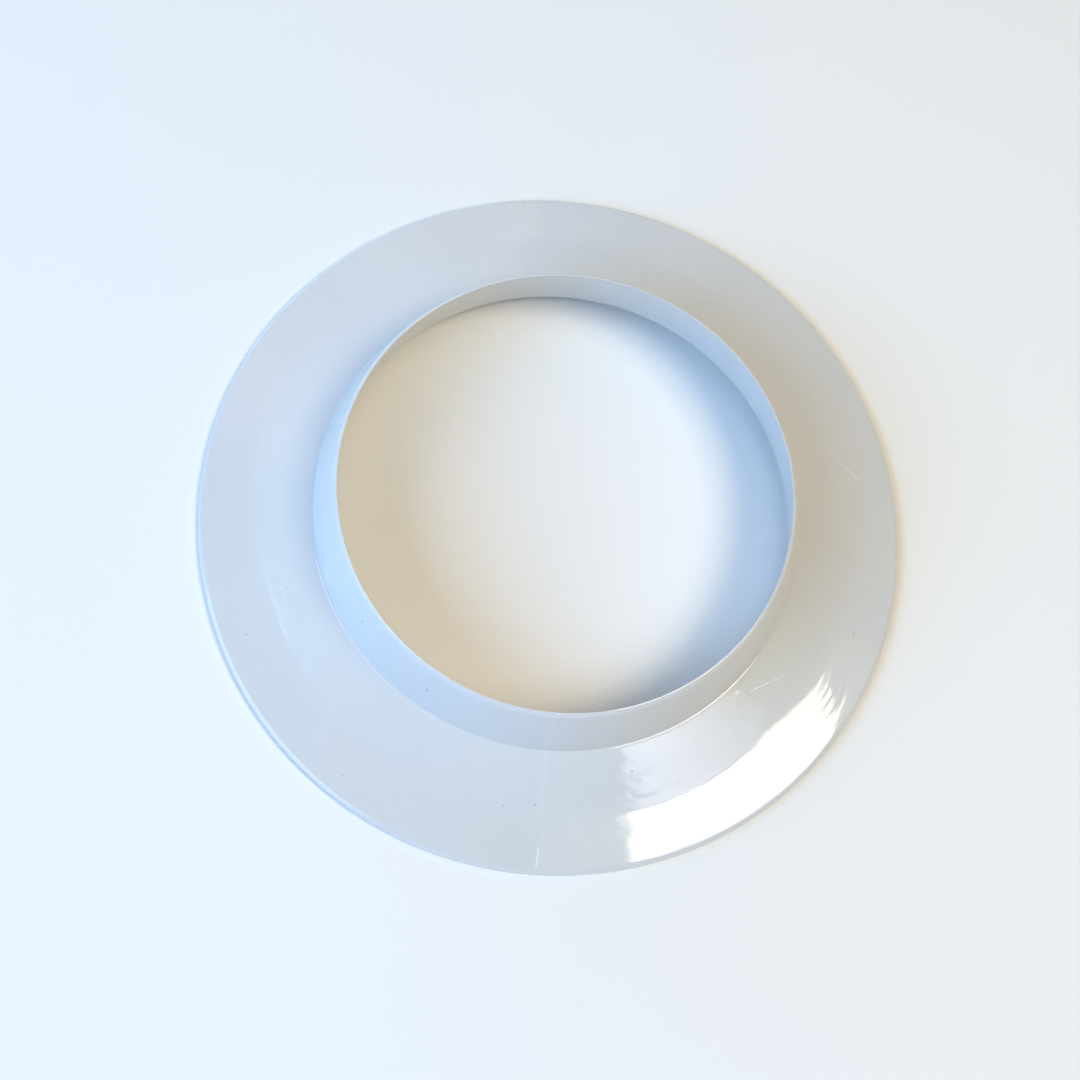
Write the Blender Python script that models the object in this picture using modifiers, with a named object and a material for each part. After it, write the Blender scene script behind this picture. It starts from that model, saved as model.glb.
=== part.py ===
"""Wall flange (rosette) for a 110 mm soil pipe: one moulded ring of glossy white plastic.

A conical collar, which closes round the pipe, stands on a wide shallow brim, which covers the
hole in the wall. Metres, +Z along the pipe and away from the wall, and the origin at the centre
of the foot, where the flange rests on the wall.
"""

import math

import bpy

# Driving dimensions
OUTER_RADIUS = 0.0900  # brim
BORE_RADIUS = 0.0550  # mouth of the collar, which closes on a 110 mm pipe
HEIGHT = 0.0260  # foot to mouth
EDGE_HEIGHT = 0.0024  # brim at its outer edge
ROOT_RADIUS = 0.0614  # where the collar's outer wall meets the brim
ROOT_HEIGHT = 0.0085
WALL = 0.0020

# The collar's inner wall widens from the mouth to the root ring, a low ring under the collar
RING_INNER_RADIUS = 0.0595
RING_OUTER_RADIUS = 0.0612
RING_HEIGHT = 0.0048

# The mouth: a narrow flat top, then a bevel down to the collar's outer wall
MOUTH_FLAT = 0.0004
BEVEL_WIDTH = 0.0007
BEVEL_DROP = 0.0011

# The brim is two straight cones that meet in a soft kink. The inner one is the steeper
KINK_RADIUS = 0.0765
KINK_ROUND = 0.0018
OUTER_SLOPE = math.radians(8.0)

FOOT_WIDTH = 0.0022
EDGE_ROUND = 0.0013  # how far the brim's outer edge is rounded back
SMALL_ROUND = 0.0003

SEGMENTS = 120  # around the ring
ARC_STEPS = 3

COLLECTION = "wall_flange"
NODE = "flange_body"
SHARP_ANGLE = math.radians(35.0)


def towards(start, end, distance):
    """The point at that distance from start on the line to end."""
    share = distance / math.dist(start, end)
    return tuple(s + (e - s) * share for s, e in zip(start, end))


def curve(start, control, end, steps):
    """Points of the quadratic curve from start to end that bends round control."""
    points = []
    for step in range(steps + 1):
        t = step / steps
        weights = ((1 - t) ** 2, 2 * t * (1 - t), t * t)
        points.append(
            tuple(
                sum(w * p[axis] for w, p in zip(weights, (start, control, end)))
                for axis in (0, 1)
            )
        )
    return points


def rounded(before, corner, after, size):
    """The corner with its point taken off, over that distance along both sides."""
    start = towards(corner, before, size)
    end = towards(corner, after, size)
    return curve(start, corner, end, ARC_STEPS)


def outer_cone_height(radius):
    """Height of the brim between its kink and its outer edge."""
    return EDGE_HEIGHT + (OUTER_RADIUS - radius) * math.tan(OUTER_SLOPE)


def section():
    """The ring's closed cross-section as (radius, height), from the mouth down its outer side."""
    mouth_inner = (BORE_RADIUS, HEIGHT)
    mouth_outer = (BORE_RADIUS + MOUTH_FLAT, HEIGHT)
    bevel_foot = (mouth_outer[0] + BEVEL_WIDTH, HEIGHT - BEVEL_DROP)
    root = (ROOT_RADIUS, ROOT_HEIGHT)
    kink = (KINK_RADIUS, outer_cone_height(KINK_RADIUS))
    edge = (OUTER_RADIUS, EDGE_HEIGHT)
    foot_outer = (OUTER_RADIUS, 0.0)
    foot_inner = (OUTER_RADIUS - FOOT_WIDTH, 0.0)
    edge_inside = (foot_inner[0], outer_cone_height(foot_inner[0]) - WALL)
    kink_under = (KINK_RADIUS, kink[1] - WALL)
    inner_slope = (ROOT_HEIGHT - kink[1]) / (KINK_RADIUS - ROOT_RADIUS)
    ring_top_height = kink_under[1] + (KINK_RADIUS - RING_OUTER_RADIUS) * inner_slope
    ring_top = (RING_OUTER_RADIUS, ring_top_height)
    ring_outer = (RING_OUTER_RADIUS, RING_HEIGHT)
    ring_inner = (RING_INNER_RADIUS, RING_HEIGHT)

    points = [mouth_inner]
    points += rounded(mouth_inner, mouth_outer, bevel_foot, SMALL_ROUND)
    points += rounded(mouth_outer, bevel_foot, root, SMALL_ROUND)
    points += [root]
    points += rounded(root, kink, edge, KINK_ROUND)
    points += rounded(kink, edge, foot_outer, EDGE_ROUND)
    points += [foot_outer, foot_inner, edge_inside, kink_under, ring_top, ring_outer, ring_inner]
    return points


def plastic(name):
    material = bpy.data.materials.new(name)
    material.use_nodes = True
    shader = material.node_tree.nodes["Principled BSDF"]
    shader.inputs["Base Color"].default_value = (0.82, 0.83, 0.82, 1.0)
    shader.inputs["Roughness"].default_value = 0.16
    shader.inputs["Metallic"].default_value = 0.0
    shader.inputs["IOR"].default_value = 1.50
    return material


def turned(name, points, collection):
    """A closed cross-section turned round Z into a solid ring."""
    mesh = bpy.data.meshes.new(name)
    edges = [(i, (i + 1) % len(points)) for i in range(len(points))]
    mesh.from_pydata([(radius, 0.0, height) for radius, height in points], edges, [])
    ring = bpy.data.objects.new(name, mesh)
    collection.objects.link(ring)
    screw = ring.modifiers.new("turn", "SCREW")
    screw.axis = "Z"
    screw.angle = math.tau
    screw.steps = SEGMENTS
    screw.render_steps = SEGMENTS
    screw.use_merge_vertices = True
    screw.merge_threshold = 0.00005
    screw.use_smooth_shade = True
    return ring


def smooth_but_sharp_edges(ring):
    """Shades the ring smooth, with its real corners left sharp."""
    graph = bpy.context.evaluated_depsgraph_get()
    mesh = bpy.data.meshes.new_from_object(ring.evaluated_get(graph))
    ring.modifiers.clear()
    ring.data = mesh
    mesh.shade_smooth()
    mesh.set_sharp_from_angle(angle=SHARP_ANGLE)


def main():
    for old in list(bpy.data.objects):
        bpy.data.objects.remove(old)
    collection = bpy.data.collections.new(COLLECTION)
    bpy.context.scene.collection.children.link(collection)
    ring = turned(NODE, section(), collection)
    bpy.context.view_layer.update()
    smooth_but_sharp_edges(ring)
    ring.data.materials.append(plastic("white_plastic"))


main()
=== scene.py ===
"""Looks of the wall flange: one glossy white moulding on a pale floor, in soft daylight.

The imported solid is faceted, so a finely turned ring with the same section stands in for it. The
ring adds what a moulding has: small roundings, a knit line with a nick in the mouth, a faint
waviness, and scuffs.
"""

import math

import bpy
from mathutils import Matrix, Vector, noise


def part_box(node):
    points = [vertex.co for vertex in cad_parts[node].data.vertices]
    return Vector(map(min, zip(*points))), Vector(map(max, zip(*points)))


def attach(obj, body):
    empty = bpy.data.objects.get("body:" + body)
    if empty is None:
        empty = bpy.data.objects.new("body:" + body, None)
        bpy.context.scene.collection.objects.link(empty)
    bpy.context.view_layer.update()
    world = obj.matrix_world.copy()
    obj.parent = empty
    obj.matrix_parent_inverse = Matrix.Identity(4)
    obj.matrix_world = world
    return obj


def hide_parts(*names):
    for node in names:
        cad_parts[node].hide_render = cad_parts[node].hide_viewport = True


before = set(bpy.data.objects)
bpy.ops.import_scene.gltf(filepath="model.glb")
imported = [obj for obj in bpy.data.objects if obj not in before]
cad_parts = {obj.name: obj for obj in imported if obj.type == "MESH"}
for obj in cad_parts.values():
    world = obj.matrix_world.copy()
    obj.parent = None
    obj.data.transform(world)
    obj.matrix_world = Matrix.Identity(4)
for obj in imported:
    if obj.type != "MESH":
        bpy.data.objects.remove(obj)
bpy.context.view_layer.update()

NODE = "flange_body"
MM = 0.001

# ---------------------------------------------------------------- sizes: the outer radius and height from the imported node, the rest given

low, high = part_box(NODE)
OUTER_RADIUS = high.x
HEIGHT = high.z
BORE_RADIUS = 55 * MM
EDGE_HEIGHT = 2.4 * MM
KINK_RADIUS = 76.5 * MM
OUTER_SLOPE = math.radians(8.0)
ROOT_RADIUS = 61.4 * MM
ROOT_HEIGHT = 8.5 * MM
WALL = 2 * MM
RING_INNER_RADIUS = 59.5 * MM
RING_OUTER_RADIUS = 61.2 * MM
RING_HEIGHT = 4.8 * MM
MOUTH_FLAT = 0.4 * MM
BEVEL_WIDTH = 0.7 * MM
BEVEL_DROP = 1.1 * MM
FOOT_WIDTH = 2.2 * MM

# A low ledge round the collar's root, where two parts of the mould meet
LEDGE_WIDTH = 0.42 * MM
LEDGE_SLOPE = math.radians(10.0)
LEDGE_FOOT = 62.1 * MM

# The knit line, where the melt met itself: a low ridge, and a nick in the mouth's edge
KNIT_ANGLE = math.radians(-73.0)
KNIT_RIDGE = 0.03 * MM
KNIT_HALF_WIDTH = 0.9 * MM
NICK_DEPTH = 0.3 * MM
NICK_HALF_WIDTH = 0.45 * MM
NICK_REACH = 1.2 * MM  # outward from the bore
NICK_FLOOR = HEIGHT - 0.6 * MM  # nothing lower than this is nicked

# The brim's faint waviness, strongest halfway across it
WAVE_HEIGHT = 0.035 * MM
WAVE_MIDDLE = 76 * MM
WAVE_REACH = 16 * MM
LONG_WAVES = 28.0  # per metre
SHORT_WAVES = 70.0

# Dark specks in the plastic: x, y and size in millimetres
SPECKS = (
    (38.9, -55.7, 0.50),
    (19.8, -71.3, 0.38),
    (12.8, -74.2, 0.32),
    (81.3, -2.1, 0.40),
    (-55.3, -43.9, 0.30),
    (-60.0, -57.8, 0.35),
    (-25.3, -80.9, 0.30),
    (-33.8, -47.6, 0.35),
    (-13.8, -57.0, 0.42),
)

# Pale scratches on the brim: both ends and the half width in millimetres
SCRATCHES = (
    ((63.7, 40.8), (71.0, 38.1), 0.14),
    ((60.0, -26.9), (67.2, -19.4), 0.14),
    ((24.2, -80.2), (25.2, -84.6), 0.20),
)

# A faint grey hook on the brim, given in the same way
HOOK = (
    ((-39.2, 80.6), (-38.3, 78.0), 0.3),
    ((-38.3, 78.0), (-39.3, 76.3), 0.3),
)


# ---------------------------------------------------------------- the turned section


def between(start, end, share):
    return tuple(s + (e - s) * share for s, e in zip(start, end))


def bend(before, corner, after, size_in, size_out, steps):
    """The corner rounded off, from size_in before it to size_out past it."""
    start = between(corner, before, size_in / math.dist(corner, before))
    end = between(corner, after, size_out / math.dist(corner, after))
    points = []
    for step in range(steps + 1):
        t = step / steps
        points.append(between(between(start, corner, t), between(corner, end, t), t))
    return points


def cone_height(radius):
    """Height of the brim's outer cone above the foot."""
    return EDGE_HEIGHT + (OUTER_RADIUS - radius) * math.tan(OUTER_SLOPE)


def section():
    """Closed section as (radius, height), from the mouth down its outer side."""
    kink = (KINK_RADIUS, cone_height(KINK_RADIUS))
    inside = OUTER_RADIUS - FOOT_WIDTH
    kink_under = (KINK_RADIUS, kink[1] - WALL)
    slope = (ROOT_HEIGHT - kink[1]) / (KINK_RADIUS - ROOT_RADIUS)
    ring_top = (RING_OUTER_RADIUS, kink_under[1] + (KINK_RADIUS - RING_OUTER_RADIUS) * slope)
    ledge_end = (ROOT_RADIUS + LEDGE_WIDTH, ROOT_HEIGHT - LEDGE_WIDTH * math.tan(LEDGE_SLOPE))
    ledge_foot = (LEDGE_FOOT, kink[1] + (KINK_RADIUS - LEDGE_FOOT) * slope)
    corners = [  # radius, height, rounding before and after in millimetres, steps
        (BORE_RADIUS, HEIGHT, 0.06, 0.06, 3),
        (BORE_RADIUS + MOUTH_FLAT, HEIGHT, 0.3, 0.3, 6),
        (BORE_RADIUS + MOUTH_FLAT + BEVEL_WIDTH, HEIGHT - BEVEL_DROP, 0.35, 0.35, 6),
        (ROOT_RADIUS, ROOT_HEIGHT, 0.2, 0.12, 6),
        (*ledge_end, 0.08, 0.06, 4),
        (*ledge_foot, 0.12, 0.3, 5),
        (*kink, 1.8, 1.8, 12),
        (OUTER_RADIUS, EDGE_HEIGHT, 1.4, 1.1, 12),
        (OUTER_RADIUS, 0.0, 0.25, 0.25, 4),
        (inside, 0.0, 0.25, 0.25, 4),
        (inside, cone_height(inside) - WALL, 0.3, 0.3, 4),
        (*kink_under, 1.8, 1.8, 6),
        (*ring_top, 0.4, 0.4, 4),
        (RING_OUTER_RADIUS, RING_HEIGHT, 0.2, 0.2, 4),
        (RING_INNER_RADIUS, RING_HEIGHT, 0.25, 0.25, 4),
    ]
    points = []
    for index, (radius, height, size_in, size_out, steps) in enumerate(corners):
        before = corners[index - 1][:2]
        after = corners[(index + 1) % len(corners)][:2]
        arc = bend(before, (radius, height), after, size_in * MM, size_out * MM, steps)
        if points:
            points += run(points[-1], arc[0])
        points += arc
    points += run(points[-1], points[0])
    return points


def run(start, end, spacing=0.8 * MM):
    """Points between two ends of a straight stretch, closer together near the ends."""
    count = max(1, math.ceil(math.dist(start, end) / spacing))
    return [between(start, end, (1 - math.cos(math.pi * i / count)) / 2) for i in range(1, count)]


# ---------------------------------------------------------------- the ring


def ring_angles(count=720, half_zone=math.radians(2.5), extra=80):
    """Angles round the ring, closer together at the knit line."""
    even = [math.tau * i / count for i in range(count)]
    knit = KNIT_ANGLE % math.tau
    far = [a for a in even if abs(a - knit) > half_zone]
    near = [knit + half_zone * (2 * i / extra - 1) for i in range(extra + 1)]
    return sorted(far + near)


def bump_at(x, centre, half_width):
    """1 at centre, falling smoothly to 0 at half_width away."""
    t = min(1.0, abs(x - centre) / half_width)
    return (1 - t * t) ** 2


def shaped(radius, height, angle, outward):
    """Where a point of the turned section lies on the real, slightly uneven, moulding."""
    place = Vector((radius * math.cos(angle), radius * math.sin(angle), height))
    across = (angle - KNIT_ANGLE + math.pi) % math.tau - math.pi
    sideways = across * radius
    faces_up = outward[1] > 0.2
    on_collar = outward[0] > 0.5 and height > ROOT_HEIGHT
    shift = 0.0
    if faces_up or on_collar:
        wave = noise.noise(place * LONG_WAVES) + 0.5 * noise.noise(place * SHORT_WAVES)
        shift += WAVE_HEIGHT * wave * bump_at(radius, WAVE_MIDDLE, WAVE_REACH)
        shift += KNIT_RIDGE * bump_at(sideways, 0.0, KNIT_HALF_WIDTH)
    if height > NICK_FLOOR:
        along_edge = bump_at(sideways, 0.0, NICK_HALF_WIDTH)
        from_bore = bump_at(radius, BORE_RADIUS, NICK_REACH)
        place.z -= NICK_DEPTH * along_edge * from_bore
    normal = Vector((outward[0] * math.cos(angle), outward[0] * math.sin(angle), outward[1]))
    return place + normal * shift


def build_ring():
    """The section turned round Z, point by point, because no two places on it are quite alike."""
    points = section()
    angles = ring_angles()
    count = len(points)
    outwards = []
    for i in range(count):
        (r0, z0), (r1, z1) = points[i - 1], points[(i + 1) % count]
        length = math.dist((r0, z0), (r1, z1))
        outwards.append(((z0 - z1) / length, (r1 - r0) / length))
    vertices = [
        shaped(radius, height, angle, outwards[i])
        for angle in angles
        for i, (radius, height) in enumerate(points)
    ]
    turns = len(angles)
    faces = [
        (
            j * count + i,
            j * count + (i + 1) % count,
            (j + 1) % turns * count + (i + 1) % count,
            (j + 1) % turns * count + i,
        )
        for j in range(turns)
        for i in range(count)
    ]
    mesh = bpy.data.meshes.new("flange")
    mesh.from_pydata(vertices, [], faces)
    mesh.shade_smooth()
    ring = bpy.data.objects.new("flange", mesh)
    bpy.context.scene.collection.objects.link(ring)
    return ring


# ---------------------------------------------------------------- materials

# Linear colours
WARM_WHITE = (0.640, 0.640, 0.630, 1.0)
COOL_WHITE = (0.660, 0.660, 0.655, 1.0)
# Grey of the brim's mottle: painted shade for the dim patches in the sheen's reflection, and also a
# faint random tone
TONE_AND_SHEEN_MOTTLE_GREY = (0.56, 0.56, 0.57, 1.0)
KNIT_WHITE = (0.85, 0.86, 0.87, 1.0)
SCRATCH_WHITE = (0.95, 0.95, 0.95, 1.0)
SPECK_BROWN = (0.20, 0.18, 0.16, 1.0)
HOOK_GREY = (0.40, 0.39, 0.38, 1.0)
FLOOR_CREAM = (0.86, 0.84, 0.80, 1.0)

# Roughness of the glossy moulding, and what wear adds to it
BASE_ROUGHNESS = 0.045
DULL_INNER_CONE = 0.13
DULL_OUTER_CONE = 0.05
DULL_HAIRS = 0.05
DULL_SCRATCHES = 0.3

# Heights in micrometres
BUMP_UNIT = 0.001 * MM
STREAK_HEIGHT = 4.5
WIDE_STREAK_INNER_CONE = 12.0
WIDE_STREAK_OUTER_CONE = 36.0
RIPPLE_HEIGHT = 25.0
MOTTLE_INNER_CONE = 30.0
MOTTLE_OUTER_CONE = 6.0
GRAIN_HEIGHT = 0.3
HAIR_DEPTH = 0.5
SCRATCH_HEIGHT = 20.0


class Nodes:
    """Short names for making and joining shader nodes."""

    def __init__(self, material):
        material.use_nodes = True
        self.tree = material.node_tree
        self.shader = self.tree.nodes["Principled BSDF"]

    def add(self, kind, inputs=(), **settings):
        node = self.tree.nodes.new(kind)
        for name, value in settings.items():
            setattr(node, name, value)
        for name, value in dict(inputs).items():
            self.set(node.inputs[name], value)
        return node

    def set(self, socket, value):
        if isinstance(value, bpy.types.NodeSocket):
            self.tree.links.new(value, socket)
        else:
            socket.default_value = value

    def math(self, operation, *values):
        return self.add("ShaderNodeMath", dict(enumerate(values)), operation=operation).outputs[0]

    def sum(self, *values):
        total = values[0]
        for value in values[1:]:
            total = self.math("ADD", total, value)
        return total

    def times(self, *values):
        product = values[0]
        for value in values[1:]:
            product = self.math("MULTIPLY", product, value)
        return product

    def most(self, *values):
        highest = values[0]
        for value in values[1:]:
            highest = self.math("MAXIMUM", highest, value)
        return highest

    def length(self, x, y):
        return self.math("SQRT", self.sum(self.times(x, x), self.times(y, y)))

    def vector(self, x, y, z):
        return self.add("ShaderNodeCombineXYZ", {0: x, 1: y, 2: z}).outputs[0]

    def noise(self, vector, scale=1.0, detail=2.0, roughness=0.5):
        inputs = {"Vector": vector, "Scale": scale, "Detail": detail, "Roughness": roughness}
        return self.add("ShaderNodeTexNoise", inputs).outputs["Fac"]

    def fit(self, value, low_in, high_in, low_out=0.0, high_out=1.0):
        inputs = {0: value, 1: low_in, 2: high_in, 3: low_out, 4: high_out}
        return self.add("ShaderNodeMapRange", inputs).outputs[0]

    def tint(self, colour, share, other):
        mix = self.add("ShaderNodeMix", data_type="RGBA")
        self.set(mix.inputs["Factor"], share)
        self.set(mix.inputs[6], colour)
        self.set(mix.inputs[7], other)
        return mix.outputs[2]


class Ring(Nodes):
    """Shader nodes for a place on the ring, in millimetres."""

    def __init__(self, material):
        super().__init__(material)
        metres = self.add("ShaderNodeTexCoord").outputs["Object"]
        scaled = self.add("ShaderNodeVectorMath", {0: metres}, operation="SCALE")
        scaled.inputs["Scale"].default_value = 1 / MM
        self.place = scaled.outputs[0]
        split = self.add("ShaderNodeSeparateXYZ", {0: self.place}).outputs
        self.x, self.y, self.z = split[0], split[1], split[2]
        self.radius = self.length(self.x, self.y)
        self.brim = self.fit(self.radius, 62.2, 66.0)  # 0 on the collar, 1 on the brim
        self.outer_cone = self.fit(self.radius, 75.0, 78.0)  # 0 inside the kink, 1 outside it

    def by_cone(self, inner, outer):
        """The first value inside the brim's kink, and the second outside it."""
        return self.fit(self.outer_cone, 0.0, 1.0, inner, outer)

    def around(self, across, along, middle=76.0):
        """Coordinates in which one unit is that many mm across the ring, or along it."""
        share = middle / along
        cosine = self.math("DIVIDE", self.x, self.radius)
        sine = self.math("DIVIDE", self.y, self.radius)
        # the height counts too, so the walls get the same streaks
        outward = self.math("SUBTRACT", self.radius, self.z)
        return self.vector(
            self.times(outward, 1 / across), self.times(cosine, share), self.times(sine, share)
        )

    def spot(self, x, y, size):
        """1 at that x and y, at any height, falling to 0 at that distance."""
        away = self.length(self.math("SUBTRACT", self.x, x), self.math("SUBTRACT", self.y, y))
        return self.fit(away, 0.0, size, 1.0, 0.0)

    def stroke(self, start, end, size):
        """1 on a line from start to end, at any height, falling to 0 at that distance from it."""
        run_x, run_y = end[0] - start[0], end[1] - start[1]
        square = run_x * run_x + run_y * run_y
        dx, dy = self.math("SUBTRACT", self.x, start[0]), self.math("SUBTRACT", self.y, start[1])
        share = self.sum(self.times(dx, run_x / square), self.times(dy, run_y / square))
        share = self.fit(share, 0.0, 1.0)
        off_x = self.math("SUBTRACT", dx, self.times(share, run_x))
        off_y = self.math("SUBTRACT", dy, self.times(share, run_y))
        return self.fit(self.length(off_x, off_y), 0.0, size, 1.0, 0.0)

    def hairlines(self, turn, length, width, share):
        """Sparse fine scratches in one direction."""
        mapping = self.add("ShaderNodeMapping", {"Vector": self.place})
        mapping.inputs["Rotation"].default_value = (0.0, 0.0, math.radians(turn))
        mapping.inputs["Scale"].default_value = (1 / length, 1 / width, 1 / length)
        return self.fit(self.noise(mapping.outputs[0], detail=1.0), 1.0 - share, 1.0 - share + 0.06)


def knit_band(n):
    """The knit line: a paler band with one soft and one sharp side."""
    knit_x, knit_y = math.cos(KNIT_ANGLE), math.sin(KNIT_ANGLE)
    sideways = n.sum(n.times(n.y, knit_x), n.times(n.x, -knit_y))
    ahead = n.sum(n.times(n.x, knit_x), n.times(n.y, knit_y))
    wander = n.fit(n.noise(n.place, 0.12), 0.3, 0.7, -0.35, 0.35)
    off_line = n.sum(sideways, wander)
    soft_side = n.fit(off_line, -1.3, -0.4)
    sharp_side = n.fit(off_line, 0.55, 0.75, 1.0, 0.0)
    return n.times(soft_side, sharp_side, n.fit(ahead, 0.0, 1.0))


def all_specks(n):
    """The specks that stand out, and fainter ones scattered through the plastic."""
    cells = n.add("ShaderNodeTexVoronoi", {"Vector": n.place, "Scale": 0.11})
    lot = n.add("ShaderNodeSeparateColor", {0: cells.outputs["Color"]}).outputs[0]
    chosen = n.fit(lot, 0.6, 0.61)
    faint = n.times(n.fit(cells.outputs["Distance"], 0.010, 0.024, 0.45, 0.0), chosen)
    return n.most(faint, *(n.spot(*speck) for speck in SPECKS))


def dull_patches(n):
    """Small scuffs, gathered in wider patches."""
    scuffs = n.fit(n.noise(n.place, 0.4, detail=3.0, roughness=0.6), 0.44, 0.62)
    return n.times(scuffs, n.fit(n.noise(n.place, 0.06), 0.36, 0.56))


def plastic_colour(n, mottle, hairs, scratches):
    cloud = n.fit(n.noise(n.place, 0.035, detail=3.0), 0.3, 0.7)
    hook = n.most(*(n.stroke(*line) for line in HOOK))
    lines = n.most(scratches, n.times(hairs, 0.02))
    colour = n.tint(WARM_WHITE, cloud, COOL_WHITE)
    # Painted shade in the reflection: grey mottle on the brim that stands in for the dimmer patches
    # of the sheen, and also a faint random tone over the whole brim
    colour = n.tint(colour, n.times(n.fit(mottle, 0.40, 0.62), n.brim, 0.05), TONE_AND_SHEEN_MOTTLE_GREY)
    colour = n.tint(colour, n.times(knit_band(n), 0.06), KNIT_WHITE)
    colour = n.tint(colour, n.times(lines, 0.8), SCRATCH_WHITE)
    colour = n.tint(colour, n.times(all_specks(n), 0.6), SPECK_BROWN)
    return n.tint(colour, n.times(hook, 0.25), HOOK_GREY)


def plastic_roughness(n, hairs, scratches):
    dull = n.times(dull_patches(n), n.by_cone(DULL_INNER_CONE, DULL_OUTER_CONE), n.brim)
    worn = n.sum(dull, n.times(hairs, DULL_HAIRS), n.times(scratches, DULL_SCRATCHES))
    return n.sum(worn, BASE_ROUGHNESS)


def plastic_height(n, mottle, hairs, scratches):
    """The fine relief: streaks round the ring from the polished mould, a faint ripple, and wear."""
    streaks = n.noise(n.around(0.45, 9.0), detail=2.0)
    wide_streaks = n.noise(n.around(1.7, 9.0), detail=1.0)
    ripple = n.noise(n.place, 0.16, detail=1.0)
    grain = n.noise(n.place, 5.0, detail=1.0)
    return n.sum(
        n.times(streaks, n.brim, STREAK_HEIGHT),
        n.times(wide_streaks, n.by_cone(WIDE_STREAK_INNER_CONE, WIDE_STREAK_OUTER_CONE)),
        n.times(ripple, RIPPLE_HEIGHT),
        n.times(mottle, n.brim, n.by_cone(MOTTLE_INNER_CONE, MOTTLE_OUTER_CONE)),
        n.times(grain, GRAIN_HEIGHT),
        n.times(hairs, -HAIR_DEPTH),
        n.times(scratches, SCRATCH_HEIGHT),
    )


def white_plastic():
    material = bpy.data.materials.new("white_plastic")
    n = Ring(material)
    mottle = n.noise(n.place, 0.4, detail=2.0)
    hairs = n.most(n.hairlines(25.0, 7.0, 0.12, 0.26), n.hairlines(110.0, 5.0, 0.10, 0.24))
    scratches = n.most(*(n.stroke(*line) for line in SCRATCHES))
    n.set(n.shader.inputs["Base Color"], plastic_colour(n, mottle, hairs, scratches))
    n.set(n.shader.inputs["Roughness"], plastic_roughness(n, hairs, scratches))
    n.set(n.shader.inputs["IOR"], 1.5)
    height = plastic_height(n, mottle, hairs, scratches)
    bump = n.add("ShaderNodeBump", {"Height": height, "Strength": 1.0, "Distance": BUMP_UNIT})
    n.set(n.shader.inputs["Normal"], bump.outputs[0])
    return material


def floor_material():
    material = bpy.data.materials.new("pale_floor")
    n = Nodes(material)
    n.set(n.shader.inputs["Base Color"], FLOOR_CREAM)
    n.set(n.shader.inputs["Roughness"], 0.9)
    return material


# ---------------------------------------------------------------- floor, lights, camera

FLOOR_RADIUS = 1.0  # short of the low lights' feet, where the floor would glare
FLOOR_SIDES = 96
FLOOR_GAP = 0.2 * MM

STUDIO_COLOUR = (1.0, 0.96, 0.87, 1.0)
STUDIO_FADE = {"From Min": 0.04, "From Max": 0.42, "To Min": 0.75, "To Max": 0.10}

WINDOW_SIDE = {"azimuth": 0, "elevation": 62, "distance": 1.1}
WINDOW_TURN = 33.4  # degrees, of the window in its own plane

# The bright sill beside the window is a row of strips that fade along it. In metres
SILL_WIDTH = 0.18
SILL_STEP = 0.055
SILL_ASIDE = -0.22
SILL_TOP = 0.22
SILL_STRENGTHS = (14.0, 16.5, 15.5, 13.5, 11.5, 9.5, 7.0, 4.0)  # watts per square metre
SILL_TINT = (1.0, 0.95, 1.16)


def build_floor():
    mesh = bpy.data.meshes.new("floor")
    angles = [math.tau * i / FLOOR_SIDES for i in range(FLOOR_SIDES)]
    rim = [(FLOOR_RADIUS * math.cos(a), FLOOR_RADIUS * math.sin(a), 0.0) for a in angles]
    mesh.from_pydata(rim, [], [tuple(range(FLOOR_SIDES))])
    floor = bpy.data.objects.new("floor", mesh)
    floor.location.z = low.z - FLOOR_GAP
    bpy.context.scene.collection.objects.link(floor)
    mesh.materials.append(floor_material())


def build_world():
    """A pale studio wall all round, which darkens above into a dim ceiling."""
    world = bpy.data.worlds.new("studio")
    world.use_nodes = True
    tree = world.node_tree
    background = tree.nodes["Background"]
    background.inputs["Color"].default_value = STUDIO_COLOUR
    direction = tree.nodes.new("ShaderNodeTexCoord").outputs["Generated"]
    split = tree.nodes.new("ShaderNodeSeparateXYZ")
    tree.links.new(direction, split.inputs[0])
    fade = tree.nodes.new("ShaderNodeMapRange")
    fade.interpolation_type = "SMOOTHSTEP"
    tree.links.new(split.outputs["Z"], fade.inputs["Value"])
    for name, value in STUDIO_FADE.items():
        fade.inputs[name].default_value = value
    tree.links.new(fade.outputs[0], background.inputs["Strength"])
    bpy.context.scene.world = world


def aimed(azimuth, elevation):
    """Unit vectors across, up and out of a plane that faces the part from that direction."""
    azimuth, elevation = math.radians(azimuth), math.radians(elevation)
    level = math.cos(elevation)
    out = Vector((level * math.cos(azimuth), level * math.sin(azimuth), math.sin(elevation)))
    across = Vector((0.0, 0.0, 1.0)).cross(out).normalized()
    return across, out.cross(across), out


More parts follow.
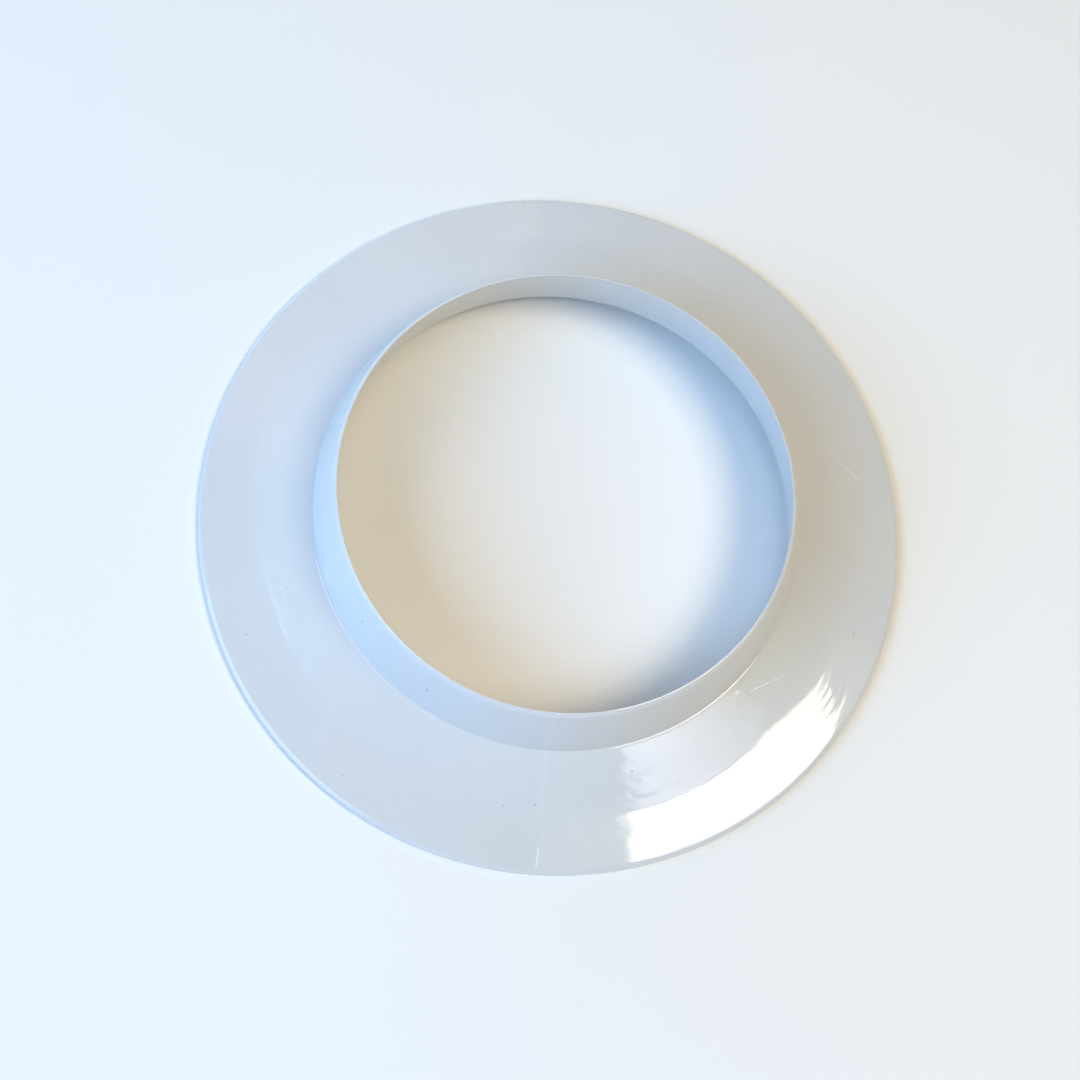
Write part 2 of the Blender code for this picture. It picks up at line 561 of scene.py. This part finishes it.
def soft_light(name, azimuth, elevation, distance, size, watts, turn=0.0, shift=(0.0, 0.0)):
    """A rectangular light that faces the part, turned and shifted in its own plane.

    Watts are given for red, green and blue.
    """
    across, up, out = aimed(azimuth, elevation)
    turned = Matrix.Rotation(math.radians(turn), 3, out)
    across, up = turned @ across, turned @ up
    data = bpy.data.lights.new(name, "AREA")
    data.shape = "RECTANGLE"
    data.size, data.size_y = size
    data.energy = max(watts)
    data.color = [w / max(watts) for w in watts]
    light = bpy.data.objects.new(name, data)
    bpy.context.scene.collection.objects.link(light)
    light.location = out * distance + across * shift[0] + up * shift[1]
    light.rotation_euler = Matrix((across, up, out)).transposed().to_euler()
    light.visible_camera = False


def build_window():
    soft_light(
        "window",
        **WINDOW_SIDE,
        size=(0.34, 0.44),
        watts=(5.5, 4.95, 4.1),
        turn=WINDOW_TURN,
        shift=(0.060, 0.042),
    )
    for index, strength in enumerate(SILL_STRENGTHS):
        soft_light(
            f"sill_{index}",
            **WINDOW_SIDE,
            size=(SILL_WIDTH, SILL_STEP),
            watts=[strength * SILL_WIDTH * SILL_STEP * share for share in SILL_TINT],
            turn=WINDOW_TURN,
            shift=(SILL_ASIDE, SILL_TOP - SILL_STEP * (index + 0.5)),
        )


def build_fills():
    """The sky and the room, given as azimuth, elevation, distance, size and watts."""
    soft_light("high_fill", 0, 62, 1.2, (0.7, 0.7), (0.8, 0.8, 0.0))
    soft_light("sky_key", 225, 38, 1.2, (1.0, 0.8), (5.8, 8.7, 13.3))
    soft_light("sky_key_low", 210, 25, 1.2, (0.9, 0.6), (0.1, 1.9, 4.5))
    soft_light("sky_low", 135, 12, 1.2, (1.0, 0.45), (0.5, 2.8, 5.0))
    soft_light("warm_fill", 135, 38, 1.2, (1.0, 0.8), (2.1, 1.2, 0.5))


def build_camera():
    data = bpy.data.cameras.new("camera")
    data.lens = 46.2
    data.sensor_width = 36.0
    data.clip_start = 0.01
    camera = bpy.data.objects.new("camera", data)
    bpy.context.scene.collection.objects.link(camera)
    aim = Vector((-1.72, -7.57, 0.0)) * MM
    distance = 354.2 * MM
    elevation = math.radians(72.68)
    roll = math.radians(21.03)
    back = Vector((0.0, -math.cos(elevation), math.sin(elevation)))
    camera.location = aim + back * distance
    upright = back.to_track_quat("Z", "Y").to_matrix()
    camera.rotation_euler = (upright @ Matrix.Rotation(roll, 3, "Z")).to_euler()
    bpy.context.scene.camera = camera


def main():
    ring = build_ring()
    ring.data.materials.append(white_plastic())
    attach(ring, "root")
    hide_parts(NODE)
    build_floor()
    build_world()
    build_window()
    build_fills()
    build_camera()
    bpy.context.scene.view_settings.view_transform = "Standard"


main()
